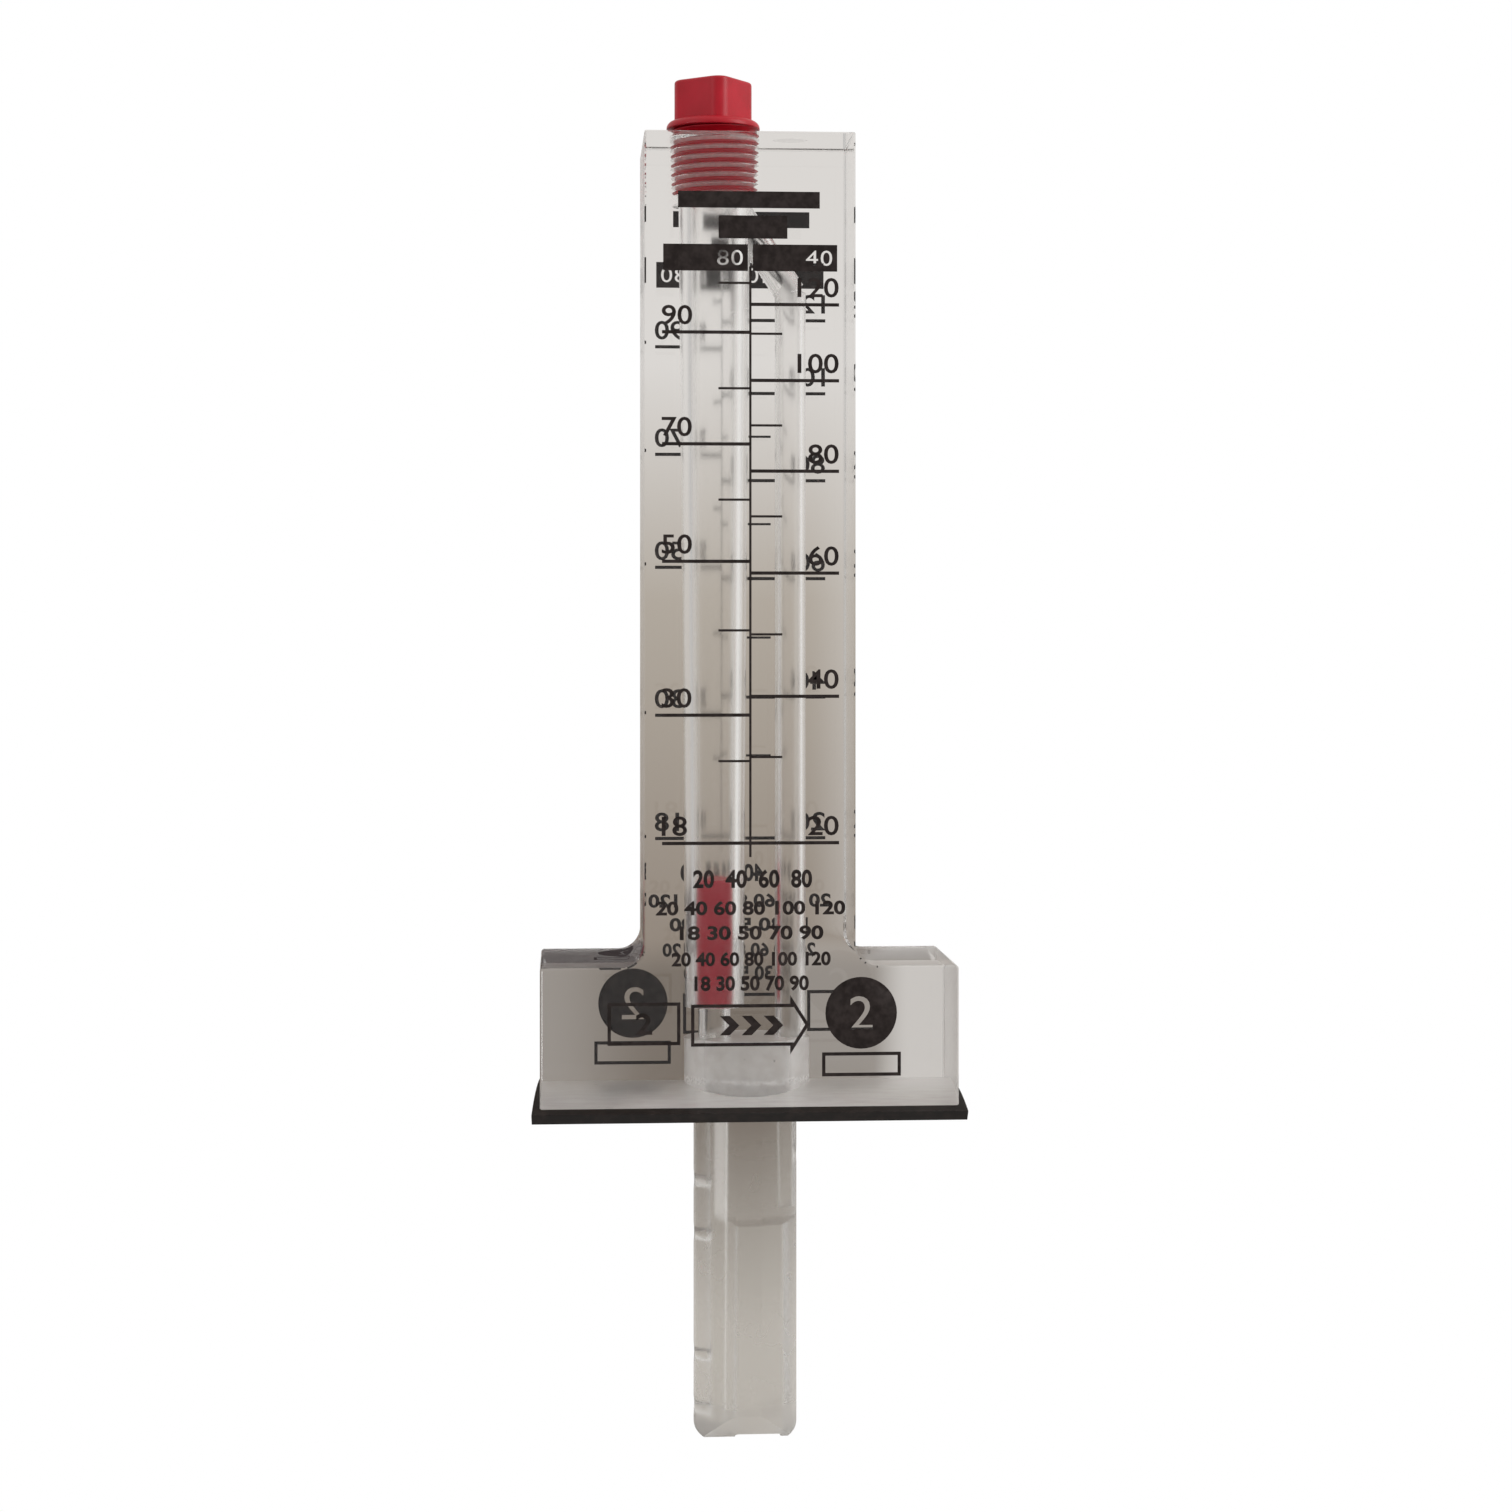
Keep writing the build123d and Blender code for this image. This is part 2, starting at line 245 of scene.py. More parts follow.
camera = {
    "place": (-0.0274, -0.4298, 0.07255),
    "lens": 66.357,  # on a 36 mm sensor
    "shiftX": 0.0073,
    "shiftY": -0.0919,
}
cameraData = bpy.data.cameras.new("camera")
cameraData.sensor_width = 36
cameraData.lens = camera["lens"]
cameraData.shift_x = camera["shiftX"]
cameraData.shift_y = camera["shiftY"]
cameraData.clip_start = 0.01
cameraObject = bpy.data.objects.new("camera", cameraData)
cameraObject.location = camera["place"]
sight = Vector((0, 0, camera["place"][2])) - Vector(camera["place"])
cameraObject.rotation_euler = sight.to_track_quat("-Z", "Y").to_euler()
bpy.context.scene.collection.objects.link(cameraObject)
bpy.context.scene.camera = cameraObject


worked = {  # where the block's surfaces are worked, in metres
    "floatX": -0.00493,
    "returnX": 0.00667,
    "floatReach": 0.0060,  # a little outside the bore's wall
    "returnReach": 0.0027,
    "seatLow": 0.0129,
    "seatHigh": 0.0173,
    "portFloor": 0.1351,
    "portReach": 0.0072,
    "portTop": 0.1452,
    "tapFloor": 0.1368,
    "tapTop": 0.14545,  # below the flat top
    "pipeAxis": -0.03015,
    "saddleReach": 0.0319,
    "socketReach": 0.00962,
    "socketTop": 0.00852,
    "endReach": 0.03145,
    "sideLow": 0.01583,
    "sideHigh": 0.01592,
    "shoulder": 0.0237,
    "crossoverLow": 0.1195,
    "crossoverLeft": -0.003,
    "crossoverRight": 0.0092,
    "boreRough": 0.24,  # how rough the tools leave each place
    "returnRough": 0.29,
    "seatRough": 0.1,
    "portRough": 0.22,
    "crossoverRough": 0.24,
    "endRough": 0.32,
    "sideRough": 0.16,
    "handledRough": 0.025,
}
bubbles = {"low": 0.0016, "high": 0.0030, "fade": 0.0005, "share": 0.85}  # in the bond, in metres
moulded = {"rough": 0.18, "waves": 0.16, "tipRough": 0.22, "tipStart": 0.047, "tipEnd": 0.052}


def aroundUpright(place, x, reach):
    # 1 closer than reach to the upright axis at x
    px, py = place.parts()[:2]
    distance = ((px - x) ** 2 + py ** 2) ** 0.5
    return distance.math("LESS_THAN", distance, reach)


def clearBlockMaterial():
    # polished faces, reamed bores, a rougher drilled seat and crossover, and sawn ends
    material, shader, place = newMaterial("clearBlock")
    shader.inputs["Base Color"].default_value = (0.985, 0.98, 0.972, 1)
    shader.inputs["IOR"].default_value = 1.491
    shader.inputs["Transmission Weight"].default_value = 1
    px, py, pz = place.parts()
    inFloat = aroundUpright(place, worked["floatX"], worked["floatReach"])
    inReturn = aroundUpright(place, worked["returnX"], worked["returnReach"])
    nearPort = aroundUpright(place, worked["floatX"], worked["portReach"])
    inSeat = inFloat * pz.inside(worked["seatLow"], worked["seatHigh"])
    inPort = nearPort * pz.inside(worked["portFloor"], worked["portTop"])
    inCrossover = (pz.inside(worked["crossoverLow"], worked["portFloor"])
                   * abs(py).inside(-1, worked["returnReach"])
                   * px.inside(worked["crossoverLeft"], worked["crossoverRight"]))
    ends = abs(px).math("GREATER_THAN", abs(px), worked["endReach"])
    sides = (abs(px).inside(worked["sideLow"], worked["sideHigh"])
             * pz.math("GREATER_THAN", pz, worked["shoulder"]))
    bores = (worked["boreRough"] * inFloat * (1 - inPort) + worked["returnRough"] * inReturn
             + worked["seatRough"] * inSeat + worked["portRough"] * inPort
             + worked["crossoverRough"] * inCrossover)
    handling = place.node("ShaderNodeTexNoise", None, {"Vector": place, "Scale": 60.0, "Detail": 4.0})
    rough = (bores + worked["endRough"] * ends + worked["sideRough"] * sides
             + worked["handledRough"] * handling.between(0.5, 0.75))
    connect(rough, shader.inputs["Roughness"])
    turning = place.node("ShaderNodeTexNoise", None, {
        "Vector": place.node("ShaderNodeMapping", None, {"Vector": place, "Scale": (1, 1, 0.06)}),
        "Scale": 900.0, "Detail": 2.0})
    bump = place.node("ShaderNodeBump", None, {
        "Strength": 0.25, "Distance": 0.00005, "Height": inFloat * turning * 0.6})
    connect(bump, shader.inputs["Normal"])
    return material


def workedMaterial(name, clearness, rough, grain, stretch, deep):
    # a surface of the block that a tool leaves whitish and partly clear
    material, shader, place = newMaterial(name)
    marks = place.node("ShaderNodeTexNoise", None, {
        "Vector": place.node("ShaderNodeMapping", None, {"Vector": place, "Scale": stretch}),
        "Scale": grain, "Detail": 3.0})
    tone = marks.between(0.3, 0.7).blend((0.84, 0.82, 0.805, 1), (0.95, 0.94, 0.93, 1))
    connect(tone, shader.inputs["Base Color"])
    connect(rough + 0.2 * marks, shader.inputs["Roughness"])
    shader.inputs["IOR"].default_value = 1.491
    shader.inputs["Transmission Weight"].default_value = clearness
    connect(place.node("ShaderNodeBump", None, {"Strength": 0.3, "Distance": deep, "Height": marks}),
            shader.inputs["Normal"])
    return material


def addBubbles(film):
    # a line of small bubbles in the bond, level with the collar's lower edge
    tree = film.node_tree
    place = Wire(tree).node("ShaderNodeTexCoord", output=3)
    pz = place.parts()[2]
    froth = place.node("ShaderNodeTexNoise", None, {"Vector": place, "Scale": 2200.0, "Detail": 3.0})
    line = (pz.between(bubbles["low"], bubbles["low"] + bubbles["fade"])
            * (1 - pz.between(bubbles["high"] - bubbles["fade"], bubbles["high"]))
            * froth.between(0.42, 0.58))
    white = place.node("ShaderNodeBsdfPrincipled", None, {
        "Base Color": (0.95, 0.945, 0.94, 1), "Roughness": 0.35})
    clear = Wire(tree, tree.nodes["Principled BSDF"].outputs[0])
    mixed = place.node("ShaderNodeMixShader", None, {0: bubbles["share"] * line, 1: clear, 2: white})
    connect(mixed, tree.nodes["Material Output"].inputs["Surface"])


def clearProbeMaterial():
    # moulded, so a little dull and wavy
    material, shader, place = newMaterial("clearProbe")
    shader.inputs["Base Color"].default_value = (0.97, 0.965, 0.955, 1)
    shader.inputs["IOR"].default_value = 1.491
    shader.inputs["Transmission Weight"].default_value = 1
    pz = place.parts()[2]
    flow = place.node("ShaderNodeTexNoise", None, {"Vector": place, "Scale": 120.0, "Detail": 2.0})
    tip = (0 - pz).between(moulded["tipStart"], moulded["tipEnd"])
    connect(moulded["rough"] + moulded["waves"] * flow + moulded["tipRough"] * tip,
            shader.inputs["Roughness"])
    connect(place.node("ShaderNodeBump", None, {"Strength": 0.1, "Distance": 0.0004, "Height": flow}),
            shader.inputs["Normal"])
    return material


def inkMaterial():
    material, shader, place = newMaterial("scaleInk")
    grain = place.node("ShaderNodeTexNoise", None, {"Vector": place, "Scale": 900.0, "Detail": 3.0})
    tone = grain.between(0.3, 0.75).blend((0.016, 0.0115, 0.0105, 1), (0.034, 0.026, 0.0245, 1))
    connect(tone, shader.inputs["Base Color"])
    shader.inputs["Roughness"].default_value = 0.6
    shader.inputs["Specular IOR Level"].default_value = 0.12
    return material


def redMaterial(name, colour, deep, sheen):
    material, shader, place = newMaterial(name)
    cloud = place.node("ShaderNodeTexNoise", None, {"Vector": place, "Scale": 160.0, "Detail": 3.0})
    connect(cloud.between(0.3, 0.7).blend((*deep, 1), (*colour, 1)), shader.inputs["Base Color"])
    grain = place.node("ShaderNodeTexNoise", None, {"Vector": place, "Scale": 2600.0, "Detail": 2.0})
    bump = place.node("ShaderNodeBump", None, {"Strength": 0.12, "Distance": 0.00004, "Height": grain})
    connect(bump, shader.inputs["Normal"])
    connect(0.3 + 0.14 * cloud, shader.inputs["Roughness"])
    shader.inputs["Specular IOR Level"].default_value = sheen
    return material


def rubberMaterial():
    material, shader, place = newMaterial("gasketRubber")
    speckle = place.node("ShaderNodeTexNoise", None, {"Vector": place, "Scale": 700.0, "Detail": 5.0})
    tone = speckle.between(0.35, 0.8).blend((0.007, 0.0045, 0.0036, 1), (0.018, 0.012, 0.0098, 1))
    connect(tone, shader.inputs["Base Color"])
    connect(0.36 + 0.2 * speckle, shader.inputs["Roughness"])
    shader.inputs["Specular IOR Level"].default_value = 0.25
    bump = place.node("ShaderNodeBump", None, {"Strength": 0.35, "Distance": 0.00008, "Height": speckle})
    connect(bump, shader.inputs["Normal"])
    return material


clearBlock = clearBlockMaterial()
milledSaddle = workedMaterial("milledSaddle", 0.68, 0.22, 1400.0, (0.15, 1, 1), 0.00005)
bondFilm = workedMaterial("bondFilm", 0.42, 0.22, 500.0, (1, 1, 1), 0.00004)
addBubbles(bondFilm)
tornFlank = workedMaterial("tornFlank", 0.5, 0.16, 1500.0, (1, 1, 1), 0.00006)
cutFlank = workedMaterial("cutFlank", 0.8, 0.08, 1500.0, (1, 1, 1), 0.00004)
clearProbe = clearProbeMaterial()
scaleInk = inkMaterial()
plugRed = redMaterial("plugRed", (0.46, 0.005, 0.019), (0.38, 0.0035, 0.013), 0.3)
floatRed = redMaterial("floatRed", (0.47, 0.005, 0.026), (0.42, 0.004, 0.021), 0.25)
gasketRubber = rubberMaterial()
print("materials made")


block = {
    "bodyWidth": 31.75,
    "baseWidth": 63.0,
    "thick": 25.4,
    "blankZ": -2.6,  # below the saddle's corners, cut away by the saddle
    "shoulderZ": 20.054,
    "topZ": 145.504,
    "neckRadius": 3.5,
    "shoulderRadius": 0.5,
    "edgeBreak": 0.25,
    "saddleRadius": 31.8,
    "pipeAxisZ": -30.15,
    "socketRadius": 9.575,
    "socketLowZ": -6,
    "socketTopZ": 8.45,
}
floatBore = {
    "x": -4.93,
    "inletRadius": 2.5,
    "seatZ": 13.05,
    "seatRadius": 4.55,
    "taperStartZ": 17.25,
    "topRadius": 5.5,
    "portFloorZ": 135.204,
    "tapDrillZ": 136.6,
    "mouthDepth": 0.75,
    "mouthChamfer": 0.3,
}
returnBore = {"x": 6.67, "radius": 2.38, "topZ": 122.15, "drillPoint": 1.43, "crossoverAngle": 33.7}
pipeThread = {
    "pitch": 1.411,
    "height": 1.129,
    "flat": 0.054,
    "taper": 1 / 16,
    "pitchRadius": 6.25,
    "gap": 0.06,  # between the plug and the port
    "runOut": 1.5,  # how far the tap's form goes on above the block
}


def blockBlank():
    # the front view as one face, drawn through the thickness, with its edges rounded and broken
    bm = bmesh.new()
    halfBody, halfBase, halfThick = block["bodyWidth"] / 2, block["baseWidth"] / 2, block["thick"] / 2
    low, shoulder, top = block["blankZ"], block["shoulderZ"], block["topZ"]
    outline = ((-halfBase, low), (halfBase, low), (halfBase, shoulder), (halfBody, shoulder),
               (halfBody, top), (-halfBody, top), (-halfBody, shoulder), (-halfBase, shoulder))
    face = bm.faces.new([bm.verts.new((x, -halfThick, z)) for x, z in outline])
    made = bmesh.ops.extrude_face_region(bm, geom=[face])["geom"]
    far = [g for g in made if isinstance(g, bmesh.types.BMVert)]
    bmesh.ops.translate(bm, vec=(0, block["thick"], 0), verts=far)
    bmesh.ops.recalc_face_normals(bm, faces=bm.faces)

    def acrossEdges(x, z):
        return [e for e in bm.edges
                if all(abs(v.co.x - x) < 1e-3 and abs(v.co.z - z) < 1e-3 for v in e.verts)]

    for corners, radius, segments in (
        (((-halfBody, shoulder), (halfBody, shoulder)), block["neckRadius"], 20),
        (((-halfBase, shoulder), (halfBase, shoulder)), block["shoulderRadius"], 6),
        (((-halfBody, top), (halfBody, top)), block["edgeBreak"], 3),
    ):
        edges = [e for corner in corners for e in acrossEdges(*corner)]
        bmesh.ops.bevel(bm, geom=edges, offset=radius, offset_type="OFFSET", segments=segments,
                        profile=0.5, affect="EDGES", material=-1)

    def brokenEdge(e):
        # all round the front and back faces, but for the underside
        above = min(v.co.z for v in e.verts) > low + 0.01
        upright = abs(e.verts[0].co.z - e.verts[1].co.z) > 1
        return any(len(f.verts) > 8 for f in e.link_faces) and (above or upright)

    rims = [e for e in bm.edges if brokenEdge(e)]
    bmesh.ops.bevel(bm, geom=rims, offset=block["edgeBreak"], offset_type="OFFSET", segments=1,
                    profile=0.5, affect="EDGES", material=-1)
    return bm


def floatPassage():
    bore = floatBore
    return turned((
        (0, block["socketTopZ"] - overcut), (bore["inletRadius"], block["socketTopZ"] - overcut),
        (bore["inletRadius"], bore["seatZ"]), (bore["seatRadius"], bore["seatZ"]),
        (bore["seatRadius"], bore["taperStartZ"]), (bore["topRadius"], bore["portFloorZ"]),
        (bore["topRadius"], bore["tapDrillZ"]), (0, bore["tapDrillZ"]),
    ), 144, bore["x"])


def portThread():
    return screwed(pipeThread["pitchRadius"] + pipeThread["gap"], block["topZ"], floatBore["portFloorZ"],
                   block["topZ"] + pipeThread["runOut"], floatBore["x"], 96, pipeThread)


def portMouth():
    # the countersink that starts the thread
    radius = pipeThread["pitchRadius"] + pipeThread["gap"] + pipeThread["height"] / 2
    depth, flare, top = floatBore["mouthDepth"], floatBore["mouthChamfer"], block["topZ"]
    return turned(((0, top - overcut), (radius - depth, top - depth), (radius + flare, top + flare),
                   (0, top + flare)), 96, floatBore["x"])


def returnPassage():
    bore = returnBore
    return turned((
        (0, block["socketTopZ"] - overcut), (bore["radius"], block["socketTopZ"] - overcut),
        (bore["radius"], bore["topZ"]), (0, bore["topZ"] + bore["drillPoint"]),
    ), 96, bore["x"])


def crossover():
    bore = returnBore
    slant = radians(bore["crossoverAngle"])
    length = (floatBore["portFloorZ"] - bore["topZ"]) / cos(slant) + bore["radius"]
    start = Vector((bore["x"], 0, bore["topZ"]))
    return drilled(start, start + length * Vector((-sin(slant), 0, cos(slant))), bore["radius"], 96)


saddleTool = drilled((-block["baseWidth"], 0, block["pipeAxisZ"]),
                     (block["baseWidth"], 0, block["pipeAxisZ"]), block["saddleRadius"], 512)
socketTool = drilled((0, 0, block["socketLowZ"]), (0, 0, block["socketTopZ"]),
                     block["socketRadius"], 144)
body = combined(blockBlank(), "DIFFERENCE", saddleTool, socketTool, floatPassage(), returnPassage(),
                crossover(), portThread(), portMouth())
acrylicBlock = finished("acrylicBlock", body, clearBlock, "meter", ["meter_body"])


def workedSurface(face):
    # which finish the tools leave on a face of the block
    x, y, z = face.center
    fromAxis = Vector((x - worked["floatX"], y)).length
    if Vector((y, z - worked["pipeAxis"])).length < worked["saddleReach"]:
        return milledSaddle
    if Vector((x, y)).length < worked["socketReach"] and z < worked["socketTop"]:
        return bondFilm
    if fromAxis < worked["portReach"] and worked["tapFloor"] < z < worked["tapTop"]:
        return tornFlank if face.normal.z > 0.3 else cutFlank
    return clearBlock


finishes = [clearBlock, milledSaddle, bondFilm, tornFlank, cutFlank]
for finish in finishes[1:]:
    acrylicBlock.data.materials.append(finish)
for face in acrylicBlock.data.polygons:
    face.material_index = finishes.index(workedSurface(face))
print("meter body made,", len(acrylicBlock.data.polygons), "faces")


probe = {
    "shankRadius": 7.9375,
    "collarRadius": 9.525,
    "collarLow": 2.15,
    "collarHigh": 8.4,
    "collarChamfer": 0.3,
    "reach": 53.7,
    "tipRadius": 2.3,
    "ridgeRadius": 8.5,  # of the tip, from front to back
    "halfBar": 12,  # of the tool that rounds the tip, wider than the collar
    "slotCorner": 0.6,
    "impactSlot": (-3.4, 2.6, 6.0, 50.7, 0.27),  # place, width, depth, reach, draft
    "staticSlot": (5.15, 3.4, 5.5, 18.0, 0.9),
    "pocket": (1.8, 7.1, 9.0, 20.35, 0.5),
    "portRadius": 1.0,
    "countersink": 0.6,
    "impactPorts": (14.25, 22.45, 40.95, 49.15),
    "staticPort": 10.15,
}


def probeBlank():
    rim, tip, cut = probe["shankRadius"], probe["tipRadius"], probe["collarChamfer"]
    low, high, collar = probe["collarLow"], probe["collarHigh"], probe["collarRadius"]
    arc = [(rim - tip + tip * sin(a), -probe["reach"] + tip - tip * cos(a)) for a in quarterTurn(12)]
    return turned([(0, -probe["reach"])] + arc + [
        (rim, low), (collar - cut, low), (collar, low + cut),
        (collar, high - cut), (collar - cut, high), (0, high),
    ], 160)


def tipped(bm):
    # the tip is round from front to back
    middle, radius = probe["ridgeRadius"] - probe["reach"], probe["ridgeRadius"]
    arc = [(radius * sin(a), middle - radius * cos(a))
           for a in (radians(-90 + 2 * i) for i in range(91))]
    top = probe["collarHigh"] + overcut
    ends = [(2 * radius, middle), (2 * radius, top), (-2 * radius, top), (-2 * radius, middle)]
    bar = bmesh.new()
    face = bar.faces.new([bar.verts.new((-probe["halfBar"], y, z)) for y, z in arc + ends])
    made = bmesh.ops.extrude_face_region(bar, geom=[face])["geom"]
    far = [g for g in made if isinstance(g, bmesh.types.BMVert)]
    bmesh.ops.translate(bar, vec=(2 * probe["halfBar"], 0, 0), verts=far)
    bmesh.ops.recalc_face_normals(bar, faces=bar.faces)
    return combined(bm, "INTERSECT", bar)


def slotTool(numbers):
    place, width, depth, reach, draft = numbers
    return roundedBar(place, width, depth, probe["slotCorner"], probe["collarHigh"] + skin, -reach,
                      draft)


def pocketTool():
    place, width, depth, top, draft = probe["pocket"]
    return roundedBar(place, width, depth, probe["slotCorner"], -probe["reach"] - skin, -top, draft)


def portTool(side, height, inner):
    # a cross hole with its countersink, from outside the shank into a channel
    rim, radius, cone = probe["shankRadius"], probe["portRadius"], probe["countersink"]
    depth = rim - abs(inner)
    bm = turned(((0, -overcut), (radius + cone + overcut, -overcut), (radius, cone), (radius, depth),
                 (0, depth)), 32)
    bmesh.ops.rotate(bm, cent=(0, 0, 0), matrix=Matrix.Rotation(-side * pi / 2, 3, "Y"), verts=bm.verts)
    bmesh.ops.translate(bm, vec=(side * rim, 0, -height), verts=bm.verts)
    return bm


impactPorts = [portTool(-1, height, probe["impactSlot"][0]) for height in probe["impactPorts"]]
stem = combined(tipped(probeBlank()), "DIFFERENCE", slotTool(probe["impactSlot"]),
                slotTool(probe["staticSlot"]), pocketTool(), *impactPorts,
                portTool(1, probe["staticPort"], probe["staticSlot"][0]))
clearStem = finished("clearStem", stem, clearProbe, "meter", ["pitot_probe"])
print("probe made,", len(clearStem.data.polygons), "faces")


floatTurning = {"radius": 4.1, "length": 19.4, "edge": 0.4}


def floatBlank():
    radius, edge = floatTurning["radius"], floatTurning["edge"]
    low, high = floatBore["seatZ"], floatBore["seatZ"] + floatTurning["length"]
    return turned(((0, low), (radius - edge, low), (radius, low + edge), (radius, high - edge),
                   (radius - edge, high), (0, high)), 128, floatBore["x"])


redFloat = finished("redFloat", floatBlank(), floatRed, "float", ["float"])


plug = {
    "tipZ": 137.154,
    "tipChamfer": 0.6,
    "skirtZ": 147.654,
    "skirtRadius": 7.2,
    "skirtRim": 0.2,
    "skirtHeight": 1.25,
    "skirtBreak": 0.12,
    "flareLap": 0.15,  # how far the flare comes out beyond the head's corners
    "shankLap": 0.2,  # how far the shank goes up into the skirt
    "headFlats": 9.7,
    "headCorner": 2.0,
    "headHeight": 6.25,
    "headEdge": 0.5,
    "headLap": 0.5,
    "headTurn": -37,
    "trimOut": 2,  # slope of the tool that chamfers the tip
    "trimUp": 1.4,
}


def plugBlank():
    flats, corner, low = plug["headFlats"], plug["headCorner"], plug["skirtZ"]
    rim, edge, height = plug["skirtRadius"], plug["skirtBreak"], plug["skirtHeight"]
    reach = flats / 2 * sqrt(2) - corner * (sqrt(2) - 1) + plug["flareLap"]
    skirtTop, flareLow = low + height, low + plug["skirtRim"]
    flare = [(rim - (rim - reach) * (1 - cos(a)), flareLow + (height - plug["skirtRim"]) * sin(a))
             for a in quarterTurn(8)]
    skirt = turned([(0, low), (rim - edge, low), (rim, low + edge)] + flare + [(0, skirtTop)],
                   128, floatBore["x"])
    top = skirtTop + plug["headHeight"]
    head = roundedBar(0, flats, flats, corner, skirtTop - plug["headLap"], top, 0.0, segments=10)
    topEdges = [e for e in head.edges if all(abs(v.co.z - top) < 1e-3 for v in e.verts)]
    bmesh.ops.bevel(head, geom=topEdges, offset=plug["headEdge"], offset_type="OFFSET", segments=5,
                    profile=0.5, affect="EDGES", material=-1)
    bmesh.ops.rotate(head, cent=(0, 0, 0), matrix=Matrix.Rotation(radians(plug["headTurn"]), 3, "Z"),
                     verts=head.verts)
    bmesh.ops.translate(head, vec=(floatBore["x"], 0, 0), verts=head.verts)
    shank = screwed(pipeThread["pitchRadius"], block["topZ"], plug["tipZ"], low + plug["shankLap"],
                    floatBore["x"], 96, pipeThread)
    tipRadius = pipeThread["pitchRadius"] + pipeThread["height"] / 2
    tipTrim = turned((
        (0, plug["tipZ"] - overcut),
        (tipRadius - plug["tipChamfer"] - overcut, plug["tipZ"] - overcut),
        (tipRadius + plug["trimOut"], plug["tipZ"] + plug["tipChamfer"] + plug["trimUp"]),
        (tipRadius + plug["trimOut"], low + overcut), (0, low + overcut),
    ), 96, floatBore["x"])
    shank = combined(shank, "INTERSECT", tipTrim)
    return combined(skirt, "UNION", head, shank)


redPlug = finished("redPlug", plugBlank(), plugRed, "plug", ["top_plug"], flatArea=1000)
print("float and plug made,", len(redFloat.data.polygons) + len(redPlug.data.polygons), "faces")


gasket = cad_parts["saddle_gasket"]
gasket.data.materials.clear()
gasket.data.materials.append(gasketRubber)


ink = {
    "sink": 0.012,  # how far the ink reaches into the face, so that it shows through the block
    "proud": 0.05,
    "cadThick": 0.1,
    "halfThick": 12.7,
    "saddleZ": 1.65,
    "backShift": 0.5,
    "backDrop": 0.6,
    "cutDeeper": 0.1,  # figures that are cut out of the ink go through it with this to spare
}
figures = {  # the numbers over the long ticks, each with the height of its tick
    "height": 2.95,
    "stretch": 1.18,
    "bold": 0.012,
    "lift": 1.1,
    "reach": 13.3,
    "right": {"120": 117.8, "100": 106.4, "80": 92.8, "60": 77.5, "40": 59.0, "20": 37.0},
    "left": {"90": 113.6, "70": 96.85, "50": 79.25, "30": 56.2, "18": 37.0},
}
rowBold = 0.034
rows = (  # number row, middle, width, baseline over the saddle, height of the figures
    ("20  40  60  80", 0.35, 17.9, 30.25, 2.8),
    ("20 40 60 80 100 120", 0.05, 28.5, 26.2, 2.16),
    ("18 30 50 70 90", 0.2, 21.6, 22.45, 2.16),
    ("20 40 60 80 100 120", 0.15, 23.9, 18.55, 2.16),
    ("18 30 50 70 90", 0.2, 17.2, 14.8, 2.3),
)
headers = {
    "height": 2.3,
    "stretch": 1.2,
    "lift": 123.65,
    "inset": 0.75,
    "middle": 6.725,
    "width": 12.7,
    "space": 0.4,
}
chevrons = {"count": 3, "start": -4.6, "step": 3.3, "height": 2.9, "stroke": 1.5, "base": 8.2}
disc = {"x": 16.7, "base": 8.9, "height": 5.0, "stretch": 1.1}
box = {"x": -15.95, "base": 8.4, "height": 3.2, "stretch": 1.2, "bold": 0.02}
bareMark = {"height": 113.4, "clear": 0.175, "length": 5.0}


def lettering(text, height, width=None, stretch=1.0, bold=0.0, deeper=0.0):
    # a text as a solid in the reader's frame, its lower left corner at the origin, outward along -Y
    curve = bpy.data.curves.new("figures", "FONT")
    curve.body = text
    curve.offset = bold
    curve.resolution_u = 4
    curve.extrude = 0.5
    obj = bpy.data.objects.new("figures", curve)
    bpy.context.scene.collection.objects.link(obj)
    mesh = evaluatedMesh(obj)
    bpy.data.objects.remove(obj)
    bm = bmesh.new()
    bm.from_mesh(mesh)
    bpy.data.meshes.remove(mesh)
    low = [min(v.co[i] for v in bm.verts) for i in range(3)]
    high = [max(v.co[i] for v in bm.verts) for i in range(3)]
    up = height / (high[1] - low[1])
    across = width / (high[0] - low[0]) if width else up * stretch
    thick = ink["sink"] + ink["proud"] + 2 * deeper
    for v in bm.verts:
        v.co = ((v.co.x - low[0]) * across, ink["sink"] + deeper - (v.co.z - low[2]) * thick,
                (v.co.y - low[1]) * up)
    bmesh.ops.remove_doubles(bm, verts=bm.verts, dist=1e-3)
    bmesh.ops.dissolve_degenerate(bm, edges=bm.edges, dist=1e-3)
    bmesh.ops.recalc_face_normals(bm, faces=bm.faces)
    return bm, (high[0] - low[0]) * across


def joinInto(target, bm, x=0.0, z=0.0):
    bmesh.ops.translate(bm, vec=(x, 0, z), verts=bm.verts)
    mesh = bpy.data.meshes.new("joined")
    bm.to_mesh(mesh)
    bm.free()
    target.from_mesh(mesh)
    bpy.data.meshes.remove(mesh)


def chevron(flowSide):
    height, stroke = chevrons["height"], chevrons["stroke"]
    tip = height / 2
    outline = ((0, 0), (stroke, 0), (stroke + tip, tip), (stroke, height), (0, height), (tip, tip))
    bm = bmesh.new()
    face = bm.faces.new([bm.verts.new((flowSide * x, ink["sink"], z)) for x, z in outline])
    made = bmesh.ops.extrude_face_region(bm, geom=[face])["geom"]
    far = [g for g in made if isinstance(g, bmesh.types.BMVert)]
    bmesh.ops.translate(bm, vec=(0, -ink["sink"] - ink["proud"], 0), verts=far)
    bmesh.ops.recalc_face_normals(bm, faces=bm.faces)
    return bm


